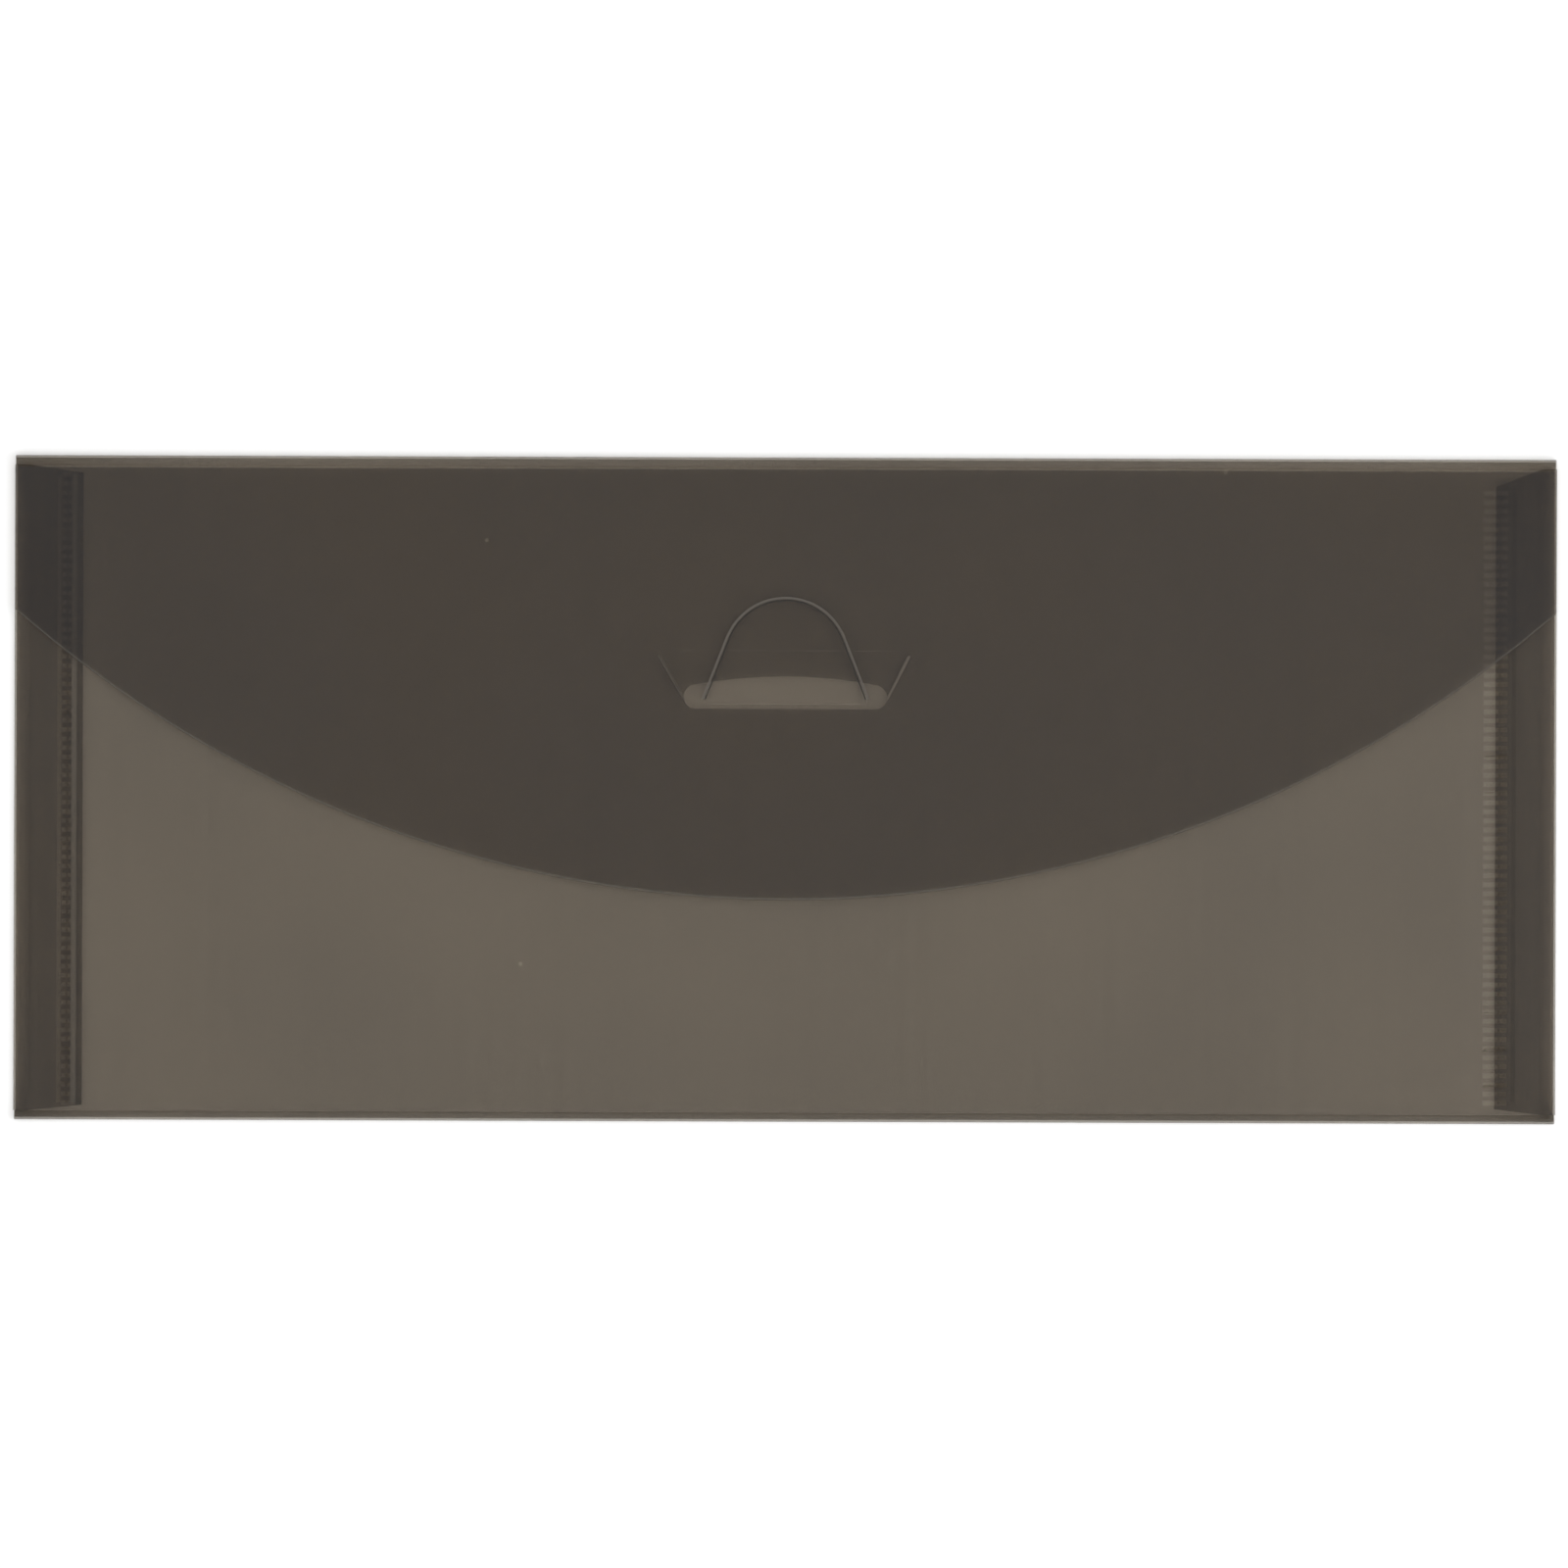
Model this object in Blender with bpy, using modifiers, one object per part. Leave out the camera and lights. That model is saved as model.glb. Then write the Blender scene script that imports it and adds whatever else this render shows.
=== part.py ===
"""Translucent tuck-flap envelope for letters folded in three, die-cut from one polypropylene sheet.

The real envelope is one blank: a back panel with a front panel folded up from its lower edge, two
side flaps folded in and welded to the front panel, and a closure flap on a narrow spine along its
upper edge. A tab cut in the closure flap tucks into a slot in the front panel. Each zone of the
blank is an object here, and a hairline break stands where the real sheet runs on through a crease.

X runs along the width, Y towards the top spine and Z up through the layers. The envelope lies on
its back panel with the flap closed, and the origin is under the middle of the back panel.
"""

import math

import bmesh
import bpy
from mathutils import Vector
from mathutils.geometry import intersect_line_sphere_2d

MM = 0.001

# Folded envelope
WIDTH = 250.8 * MM  # outside of one side fold to the other
HEIGHT = 108.0 * MM  # outside of the bottom fold to the outside of the top spine
SHEET = 0.4 * MM  # thickness of the blank
LAYER_GAP = 0.3 * MM  # air between sheets that lie on each other
CREASE_BREAK = 0.1 * MM  # hairline between a panel and the fold that it runs into
CORNER_INSET = 0.2 * MM  # the back panel's corners, past the ends of the side folds
FOLD_STEPS = 12  # facets round a half-turn fold

# Front panel
FRONT_SIDE_INSET = 0.4 * MM  # its sides stand in from the side folds
MOUTH_DROP = 1.9 * MM  # its upper edge, the pocket's mouth, below the top spine

# Side flaps, measured from the outside of the folds
WELD_FROM_SIDE = 8.9 * MM  # to the middle of the weld row
LEFT_LAP = 1.9 * MM  # sheet past the middle of the left weld row
RIGHT_LAP = 1.1 * MM  # sheet past the middle of the right weld row
SIDE_FOOT = 1.5 * MM  # lower end of a side flap at its crease
SIDE_FOOT_SLANT = 0.9 * MM  # further rise of the lower end towards the inner edge
SIDE_HEAD = 1.5 * MM  # upper end of a side flap at its crease
LEFT_HEAD_SLANT = 1.3 * MM  # further drop of the left flap's upper end towards its inner edge
RIGHT_HEAD_SLANT = 2.9 * MM  # and of the right flap's

# Weld rows, each a line of dashes on a thin bead
WELD_PITCH = 1.48 * MM
WELD_DASH_LENGTH = 1.9 * MM
WELD_DASH_WIDTH = 0.8 * MM
WELD_BEAD_WIDTH = 0.5 * MM
WELD_END_MARGIN = 0.3 * MM  # from a side flap's inner corner to the end of its weld
WELD_CLEARANCE = 0.1 * MM  # between the weld and the sheets above and below it

# Closure flap and the spine that carries it
SPINE_ROUND = 0.3 * MM  # outer corners of the spine, where it creases
SPINE_ROUND_STEPS = 6
FLAP_SIDE_INSET = 0.2 * MM
FLAP_REACH = 72.0 * MM  # top spine to the lowest point of its curved edge
FLAP_EDGE_RADIUS = 190.5 * MM
FLAP_EDGE_STEPS = 48

# Locking tab, a tongue cut in the closure flap with its root towards the flap's curved edge
TAB_TIP_DROP = 23.1 * MM  # top spine to the tip
TAB_LENGTH = 16.2 * MM
TAB_TIP_RADIUS = 10.0 * MM
TAB_FLARE = math.radians(21.5)  # lean of each side towards the root
TAB_TIP_STEPS = 20
SLIT = 0.25 * MM  # width of a die-cut slit
ROOT_BREAK = 0.2 * MM  # hairline across the root of a flexing piece

# Slot in the front panel that takes the tab, and the two wing slits that free its upper lip
SLOT_SIDE_CLEARANCE = 3.3 * MM  # past the tab's root at each end
SLOT_BELOW_ROOT = 1.6 * MM  # lower edge of the slot under the tab's root
SLOT_END_RADIUS = 2.0 * MM
SLOT_ARCH_RISE = 1.3 * MM  # crown of the slot's upper edge over its ends
SLOT_END_STEPS = 8
SLOT_ARCH_STEPS = 12
WING_SPREAD = 3.9 * MM  # a wing's tip past the slot's end
WING_RISE = 6.7 * MM  # a wing's tip above the slot's end

# Heights of the sheets' middles, from the back panel up
LAYER_STEP = SHEET + LAYER_GAP
BACK_Z = SHEET / 2
SIDE_Z = BACK_Z + LAYER_STEP
FRONT_Z = SIDE_Z + LAYER_STEP
FLAP_Z = FRONT_Z + LAYER_STEP
WELD_Z = (SIDE_Z + FRONT_Z) / 2
TOP_Z = FLAP_Z + SHEET / 2  # outer face of the closed flap

# Where the flat panels end: at the spine's inner face, and at the middles of the folds
PANEL_TOP_Y = HEIGHT / 2 - SHEET - CREASE_BREAK
BOTTOM_FOLD_Y = -HEIGHT / 2 + (FRONT_Z - BACK_Z + SHEET) / 2
SIDE_FOLD_X = WIDTH / 2 - (SIDE_Z - BACK_Z + SHEET) / 2

# Ends of the side flaps and of their folds, along the crease
SIDE_FOOT_Y = -HEIGHT / 2 + SIDE_FOOT
SIDE_HEAD_Y = HEIGHT / 2 - SIDE_HEAD

# Root lines of the tab and of the slot's upper lip
TAB_ROOT_Y = HEIGHT / 2 - TAB_TIP_DROP - TAB_LENGTH
TAB_TIP_CENTRE_Y = HEIGHT / 2 - TAB_TIP_DROP - TAB_TIP_RADIUS
SLOT_BOTTOM_Y = TAB_ROOT_Y - SLOT_BELOW_ROOT
SLOT_END_Y = SLOT_BOTTOM_Y + SLOT_END_RADIUS
LIP_ROOT_Y = SLOT_END_Y + WING_RISE

SMOKE = (0.10, 0.09, 0.075)
CREASE_SMOKE = (0.15, 0.14, 0.12)  # the sheet pales a little where it is bent
WELD_SMOKE = (0.06, 0.055, 0.048)  # and darkens where two layers have run together


def clear_scene():
    for leftover in list(bpy.data.objects):
        bpy.data.objects.remove(leftover, do_unlink=True)


def smoke_plastic(name, colour, alpha, roughness):
    material = bpy.data.materials.new(name)
    material.use_nodes = True
    shader = material.node_tree.nodes["Principled BSDF"]
    shader.inputs["Base Color"].default_value = (*colour, 1)
    shader.inputs["Alpha"].default_value = alpha
    shader.inputs["Roughness"].default_value = roughness
    shader.inputs["Metallic"].default_value = 0
    shader.inputs["IOR"].default_value = 1.49
    return material


def arc(centre, radius, start, end, steps):
    angles = [start + (end - start) * step / steps for step in range(steps + 1)]
    return [Vector((centre[0] + radius * math.cos(a), centre[1] + radius * math.sin(a))) for a in angles]


def mirrored(points):
    return [Vector((-x, y)) for x, y in reversed(points)]


def rectangle(low_x, low_y, high_x, high_y):
    return [(low_x, low_y), (high_x, low_y), (high_x, high_y), (low_x, high_y)]


def hinge_point(name, place, parent=None):
    empty = bpy.data.objects.new(name, None)
    empty.empty_display_size = WIDTH / 20
    empty.parent = parent
    empty.location = Vector(place) - (world_place(parent) if parent else Vector())
    envelope.objects.link(empty)
    return empty


def world_place(empty):
    return empty.location + (world_place(empty.parent) if empty.parent else Vector())


def cut_sheet(name, outlines, height, parent, thickness=SHEET, colour=SMOKE):
    curve = bpy.data.curves.new(name, "CURVE")
    curve.dimensions = "2D"
    curve.fill_mode = "BOTH"
    curve.extrude = thickness / 2
    for outline in outlines:
        spline = curve.splines.new("POLY")
        spline.points.add(len(outline) - 1)
        for point, (x, y) in zip(spline.points, outline):
            point.co = (x, y, 0, 1)
        spline.use_cyclic_u = True
    curve.materials.append(smoke_plastic(name, colour, alpha=0.5, roughness=0.35))
    sheet = bpy.data.objects.new(name, curve)
    sheet.parent = parent
    sheet.location = Vector((0, 0, height)) - world_place(parent)
    envelope.objects.link(sheet)
    return sheet


def half_turn_fold(name, length, lower, upper, place, turn):
    """A half tube that bulges towards +Y before it is turned, from one sheet's middle to another's."""
    radius = (upper - lower) / 2
    shape = bmesh.new()
    ends = [shape.verts.new((side * length / 2, 0, -radius)) for side in (-1, 1)]
    line = shape.edges.new(ends)
    bmesh.ops.spin(
        shape, geom=[*ends, line], cent=(0, 0, 0), axis=(1, 0, 0), angle=math.pi, steps=FOLD_STEPS
    )
    mesh = bpy.data.meshes.new(name)
    shape.to_mesh(mesh)
    shape.free()
    mesh.shade_smooth()
    mesh.materials.append(smoke_plastic(name, CREASE_SMOKE, alpha=0.5, roughness=0.4))
    fold = bpy.data.objects.new(name, mesh)
    wall = fold.modifiers.new("sheet", "SOLIDIFY")
    wall.thickness = SHEET
    wall.offset = 0
    fold.parent = pocket
    fold.location = (*place, (lower + upper) / 2)
    fold.rotation_euler.z = turn
    envelope.objects.link(fold)


def back_panel():
    """Its corners reach out past the ends of the side folds."""
    crease = SIDE_FOLD_X - CREASE_BREAK
    corner = WIDTH / 2 - CORNER_INSET
    foot = SIDE_FOOT_Y - CREASE_BREAK
    head = SIDE_HEAD_Y + CREASE_BREAK
    right = [
        (corner, BOTTOM_FOLD_Y + CREASE_BREAK),
        (corner, foot),
        (crease, foot),
        (crease, head),
        (corner, head),
        (corner, PANEL_TOP_Y),
    ]
    cut_sheet("back_panel", [right + mirrored(right)], BACK_Z, pocket)


def wing_line(offset):
    """Two points on a side of the right wing slit, tip first, offset outwards from its middle."""
    end = Vector((tab_root_half_width() + SLOT_SIDE_CLEARANCE, SLOT_END_Y))
    run = Vector((WING_SPREAD, WING_RISE))
    outwards = Vector((WING_RISE, -WING_SPREAD)).normalized() * offset
    return end + run + outwards, end + outwards


def wing_crossing(offset, level):
    tip, end = wing_line(offset)
    return tip + (end - tip) * ((level - tip.y) / (end.y - tip.y))


def slot_end_centre():
    return Vector((tab_root_half_width() + SLOT_SIDE_CLEARANCE - SLOT_END_RADIUS, SLOT_END_Y))


def slot_end_meeting(offset):
    """Where a side of the wing slit runs into the round end of the slot, and its angle there."""
    tip, end = wing_line(offset)
    centre = slot_end_centre()
    meetings = intersect_line_sphere_2d(tip, end, centre, SLOT_END_RADIUS, False)
    meeting = max(meetings, key=lambda point: point.y)
    return meeting, math.atan2(meeting.y - centre.y, meeting.x - centre.x)


def lock_opening():
    """The hole that the slot, its wings and the lip between them leave in the front panel."""
    meeting, angle = slot_end_meeting(SLIT / 2)
    lower_end = arc(slot_end_centre(), SLOT_END_RADIUS, angle, -math.pi / 2, SLOT_END_STEPS)
    right = [wing_crossing(SLIT / 2, LIP_ROOT_Y + ROOT_BREAK / 2), meeting, *lower_end[1:]]
    return right + mirrored(right)


def front_panel():
    side = WIDTH / 2 - FRONT_SIDE_INSET
    outline = rectangle(-side, BOTTOM_FOLD_Y + CREASE_BREAK, side, HEIGHT / 2 - MOUTH_DROP)
    cut_sheet("front_panel", [outline, lock_opening()], FRONT_Z, pocket)


def slot_lip():
    """The strip over the slot, free along the slot and both wings, which gives as the tab goes in."""
    hinge = hinge_point("slot_lip_hinge", (0, LIP_ROOT_Y, FRONT_Z - SHEET / 2), pocket)
    meeting, angle = slot_end_meeting(-SLIT / 2)
    centre = slot_end_centre()
    upper_end = arc(centre, SLOT_END_RADIUS, angle, math.pi / 2, SLOT_END_STEPS)
    arch_radius = (centre.x**2 + SLOT_ARCH_RISE**2) / (2 * SLOT_ARCH_RISE)
    arch_centre = (0, SLOT_END_Y + SLOT_END_RADIUS + SLOT_ARCH_RISE - arch_radius)
    lean = math.asin(centre.x / arch_radius)
    arch = arc(arch_centre, arch_radius, math.pi / 2 - lean, math.pi / 2 + lean, SLOT_ARCH_STEPS)
    right = [wing_crossing(-SLIT / 2, LIP_ROOT_Y - ROOT_BREAK / 2), meeting, *upper_end[1:]]
    cut_sheet("slot_lip", [right + arch[1:-1] + mirrored(right)], FRONT_Z, hinge)


def side_flap(name, side, lap, head_slant):
    """side is -1 for the left flap and 1 for the right one."""
    crease = side * (SIDE_FOLD_X - CREASE_BREAK)
    inner = side * (WIDTH / 2 - WELD_FROM_SIDE - lap)
    outline = [
        (crease, SIDE_FOOT_Y),
        (inner, SIDE_FOOT_Y + SIDE_FOOT_SLANT),
        (inner, SIDE_HEAD_Y - head_slant),
        (crease, SIDE_HEAD_Y),
    ]
    cut_sheet(name, [outline], SIDE_Z, pocket)


def side_fold(name, side):
    place = (side * SIDE_FOLD_X, (SIDE_FOOT_Y + SIDE_HEAD_Y) / 2)
    half_turn_fold(name, SIDE_HEAD_Y - SIDE_FOOT_Y, BACK_Z, SIDE_Z, place, -side * math.pi / 2)


def weld_seam(name, side, head_slant):
    """A bead between a side flap and the front panel, with a dash across it at every pitch."""
    middle = side * (WIDTH / 2 - WELD_FROM_SIDE)
    foot = SIDE_FOOT_Y + SIDE_FOOT_SLANT + WELD_END_MARGIN
    head = SIDE_HEAD_Y - head_slant - WELD_END_MARGIN
    dashes = int((head - foot) / WELD_PITCH)
    start = (foot + head - dashes * WELD_PITCH) / 2
    bead, reach = WELD_BEAD_WIDTH / 2, WELD_DASH_LENGTH / 2
    edge = [(bead, start)]
    for dash in range(dashes):
        low = start + (dash + 0.5) * WELD_PITCH - WELD_DASH_WIDTH / 2
        high = low + WELD_DASH_WIDTH
        edge += [(bead, low), (reach, low), (reach, high), (bead, high)]
    edge.append((bead, start + dashes * WELD_PITCH))
    outline = [(middle + x, y) for x, y in edge + mirrored(edge)]
    thickness = LAYER_GAP - 2 * WELD_CLEARANCE
    cut_sheet(name, [outline], WELD_Z, pocket, thickness, WELD_SMOKE)


def tab_root_half_width():
    straight = TAB_TIP_CENTRE_Y + TAB_TIP_RADIUS * math.sin(TAB_FLARE) - TAB_ROOT_Y
    return TAB_TIP_RADIUS * math.cos(TAB_FLARE) + straight * math.tan(TAB_FLARE)


def tab_outline(growth, root):
    """The tab's edge grown outwards, from its right foot at the root line over the tip to its left."""
    radius = TAB_TIP_RADIUS + growth
    tip = arc((0, TAB_TIP_CENTRE_Y), radius, TAB_FLARE, math.pi - TAB_FLARE, TAB_TIP_STEPS)
    foot_x = tip[0].x + (tip[0].y - root) * math.tan(TAB_FLARE)
    return [Vector((foot_x, root)), *tip, Vector((-foot_x, root))]


def top_spine(crease):
    """The upright strip between the two creases that the closure flap opens on."""
    inner = HEIGHT / 2 - SHEET
    corner = HEIGHT / 2 - SPINE_ROUND
    bottom = arc((corner, SPINE_ROUND), SPINE_ROUND, -math.pi / 2, 0, SPINE_ROUND_STEPS)
    top = arc((corner, TOP_Z - SPINE_ROUND), SPINE_ROUND, 0, math.pi / 2, SPINE_ROUND_STEPS)
    profile = [(inner, 0), *bottom, *top, (inner, TOP_Z)]
    width = WIDTH - 2 * FLAP_SIDE_INSET
    spine = cut_sheet("top_spine", [profile], 0, crease, width, CREASE_SMOKE)
    spine.rotation_euler = (math.pi / 2, 0, math.pi / 2)


def closure_flap(crease):
    """The flap and, on its hinge, the locking tab."""
    swing = hinge_point("closure_flap_hinge", (0, HEIGHT / 2, TOP_Z), crease)
    half = WIDTH / 2 - FLAP_SIDE_INSET
    lean = math.asin(half / FLAP_EDGE_RADIUS)
    edge_centre = (0, HEIGHT / 2 - FLAP_REACH + FLAP_EDGE_RADIUS)
    down = -math.pi / 2
    edge = arc(edge_centre, FLAP_EDGE_RADIUS, down - lean, down + lean, FLAP_EDGE_STEPS)
    window = tab_outline(SLIT, TAB_ROOT_Y - ROOT_BREAK / 2)
    outline = [*edge, (half, PANEL_TOP_Y), (-half, PANEL_TOP_Y)]
    cut_sheet("closure_flap", [outline, window], FLAP_Z, swing)
    lift = hinge_point("locking_tab_hinge", (0, TAB_ROOT_Y, TOP_Z), swing)
    cut_sheet("locking_tab", [tab_outline(0, TAB_ROOT_Y + ROOT_BREAK / 2)], FLAP_Z, lift)


def bottom_fold():
    width = WIDTH - 2 * FRONT_SIDE_INSET
    half_turn_fold("bottom_fold", width, BACK_Z, FRONT_Z, (0, BOTTOM_FOLD_Y), math.pi)


clear_scene()
envelope = bpy.data.collections.new("tuck_flap_envelope")
bpy.context.scene.collection.children.link(envelope)
pocket = hinge_point("pocket", (0, 0, 0))

back_panel()
front_panel()
slot_lip()
for side_name, side_sign, side_lap, side_slant in (
    ("left", -1, LEFT_LAP, LEFT_HEAD_SLANT),
    ("right", 1, RIGHT_LAP, RIGHT_HEAD_SLANT),
):
    side_flap(f"{side_name}_side_flap", side_sign, side_lap, side_slant)
    side_fold(f"{side_name}_side_fold", side_sign)
    weld_seam(f"{side_name}_weld_seam", side_sign, side_slant)
bottom_fold()
spine_crease = hinge_point("top_spine_hinge", (0, HEIGHT / 2, 0), pocket)
top_spine(spine_crease)
closure_flap(spine_crease)
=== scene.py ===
import math

import bmesh
import bpy
from mathutils import Matrix, Vector


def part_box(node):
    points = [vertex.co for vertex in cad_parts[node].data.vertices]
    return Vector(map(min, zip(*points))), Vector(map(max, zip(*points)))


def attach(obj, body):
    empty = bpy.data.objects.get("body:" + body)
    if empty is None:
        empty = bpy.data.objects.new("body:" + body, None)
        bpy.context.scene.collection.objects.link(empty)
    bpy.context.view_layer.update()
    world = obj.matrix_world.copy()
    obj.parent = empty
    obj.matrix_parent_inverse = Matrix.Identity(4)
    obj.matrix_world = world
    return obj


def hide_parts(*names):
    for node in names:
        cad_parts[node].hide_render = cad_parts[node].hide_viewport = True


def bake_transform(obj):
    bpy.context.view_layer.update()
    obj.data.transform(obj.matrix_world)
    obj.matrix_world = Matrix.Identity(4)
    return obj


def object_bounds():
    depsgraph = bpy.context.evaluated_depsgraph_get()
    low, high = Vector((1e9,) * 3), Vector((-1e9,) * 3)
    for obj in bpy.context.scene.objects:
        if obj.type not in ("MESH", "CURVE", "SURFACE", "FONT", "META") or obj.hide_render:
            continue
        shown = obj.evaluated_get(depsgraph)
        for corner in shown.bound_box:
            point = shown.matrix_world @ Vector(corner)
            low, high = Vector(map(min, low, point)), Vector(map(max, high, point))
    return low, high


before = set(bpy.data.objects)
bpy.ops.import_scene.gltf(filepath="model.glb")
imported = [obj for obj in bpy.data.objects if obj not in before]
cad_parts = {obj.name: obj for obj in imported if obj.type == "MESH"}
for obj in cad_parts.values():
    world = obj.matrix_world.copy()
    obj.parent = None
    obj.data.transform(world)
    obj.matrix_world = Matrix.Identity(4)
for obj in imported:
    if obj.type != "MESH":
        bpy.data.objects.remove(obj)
cadLow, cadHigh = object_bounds()
mm = 0.001
backLow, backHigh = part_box("back_panel")
sheetGauge = backHigh.z - backLow.z  # thickness of the blank
halfWidth, topY, bottomY = cadHigh.x, cadHigh.y, cadLow.y
print("frame loaded,", len(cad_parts), "nodes, sheet", round(sheetGauge / mm, 2), "mm")


def hexToLinear(code):  # sRGB hex, as a colour picker shows it, to linear with alpha
    channels = [int(code[i:i + 2], 16) / 255 for i in (1, 3, 5)]
    return [c / 12.92 if c <= 0.04045 else ((c + 0.055) / 1.055) ** 2.4 for c in channels] + [1.0]


def addNode(tree, kind, settings, links=()):
    added = tree.nodes.new(kind)
    for key, value in settings.items():
        if isinstance(key, int) or key in added.inputs:
            added.inputs[key].default_value = value
        else:
            setattr(added, key, value)
    for socket, source in links:
        tree.links.new(source, added.inputs[socket])
    return added


def midHeight(node):
    low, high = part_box(node)
    return (low.z + high.z) / 2


# Polypropylene, extruded to 0.4 mm sheet and tinted smoke: see-through and a little warm, so each
# layer that lies under another darkens it, with a satin skin that pales it slightly, more so at a
# slant.
smokeSheet = {
    "tint": "#ede8e0",  # what the sheet lets through
    "skin": "#28282d",  # colour of the haze in the skin
    "haze": 0.19,  # share of the skin seen from straight above, on each face
    "slantHaze": 0.55,  # added towards a grazing view
    "slantPower": 3,  # how late it comes in
    "drift": 0.012,  # how much the tint varies
    "streakWidth": 1.6,  # mm, die lines from the extruder, straight along Y
    "streakShift": 1700.0,  # moves the lines from one layer to the next, per metre of height
    "cloudSize": 42.0,  # mm, slow drift of the tint
    "grainSize": 0.3,  # mm, satin grain, drawn coarser than the real 0.1 mm so that it shows
    "grainDepth": 0.002,  # mm
    "grainStrength": 0.6,
    "ior": 1.49,
    "gloss": 0.35,
    "roughLow": 0.30,
    "roughHigh": 0.44,
}
# The same sheet on the outside of the envelope, with a few nicks from handling, in mm, which have
# cleared the skin.
handledSheet = dict(smokeSheet, nickSpacing=83.0, nickSize=0.35, nickHaze=-0.08)
# The same sheet in the side flaps, where working the fold has drawn it into streaks.
drawnSheet = dict(smokeSheet, tint="#f0ebe2", drift=0.03, streakWidth=1.1, cloudSize=5000.0)
# The same in the left flap, which is drawn less thin.
thickerSheet = dict(drawnSheet, tint="#ede8df")
# The same sheet beside and round the side folds, with painted fold shading: paler where the sheet
# starts to turn, less so towards the outer edge.
creasedSheet = dict(smokeSheet, foldShading=0.05, roughHigh=0.40)
# The same along the bottom, with painted shade: the tint darkens over the fold,
# most where the sheet starts to turn.
foldedSheet = dict(creasedSheet, foldShading=-0.03)
# The same in the top spine, which is scored to bend easily: paler beside the mouth, partly as the
# scored sheet is thinner and partly as painted light against the shadow of the spine's wall; darker
# at the bend, as painted shade.
scoredSheet = dict(smokeSheet, tint="#f5f0e8", haze=0.17, foldShading=-0.068, roughHigh=0.40)
# The same sheet where a tooth of the welding wheel pressed it through: thinner, so paler, and
# smoother.
pressedSheet = dict(smokeSheet, tint="#fcf8f2", haze=0.12, roughLow=0.22, roughHigh=0.32)
# The same under the right wheel, which pressed harder.
thinnedSheet = dict(pressedSheet, tint="#fefbf6", haze=0.09)
# The same sheet where the tooth only marked it, beside the weld.
markedSheet = dict(smokeSheet, tint="#faf6ef", haze=0.155)
# The same sheet along the left wheel's rim, pressed hard enough to whiten.
stressedSheet = dict(smokeSheet, tint="#fcf8f0", skin="#544f49", haze=0.26)
# The same sheet along the right wheel's rim, drawn darker into a fine line: painted shade of a
# crease.
creaseShadowSheet = dict(smokeSheet, tint="#dad5cc")
# Two sheets melted into each other between the teeth: a little darker, and glossy.
weldedSheet = dict(smokeSheet, tint="#f4efe7", haze=0.06, roughLow=0.2, roughHigh=0.3)
# The flap's long edge, burnished by the knife, with a painted highlight: a paler band along it.
burnishedHighlightSheet = dict(smokeSheet, skin="#514e49", haze=0.30)
# The knife's cut through the sheet: a matt wall that scatters light and looks paler.
cutSheet = dict(smokeSheet, skin="#6d6861", haze=0.32, gloss=0.2, roughLow=0.5, roughHigh=0.6)
# Where one piece of the sheet runs on into the next there is no wall, so nothing to see.
joinedSheet = dict(smokeSheet, tint="#ffffff", drift=0.0, haze=0.0, slantHaze=0.0)
# The lips of a closed slit, where the knife has whitened the sheet, so it hides most of what lies
# behind it.
slitSheet = dict(cutSheet, skin="#5c5751", haze=0.8)
# The same, under the flap, which darkens it.
lowerSlitSheet = dict(slitSheet, skin="#98928b")
# The same, on a slit that has closed up tighter.
closedSlit = dict(slitSheet, skin="#7b766f", haze=0.5)
# The tab's side of its slit, in the shade of the flap's edge.
shadedSlit = dict(slitSheet, skin="#302d2a")


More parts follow.
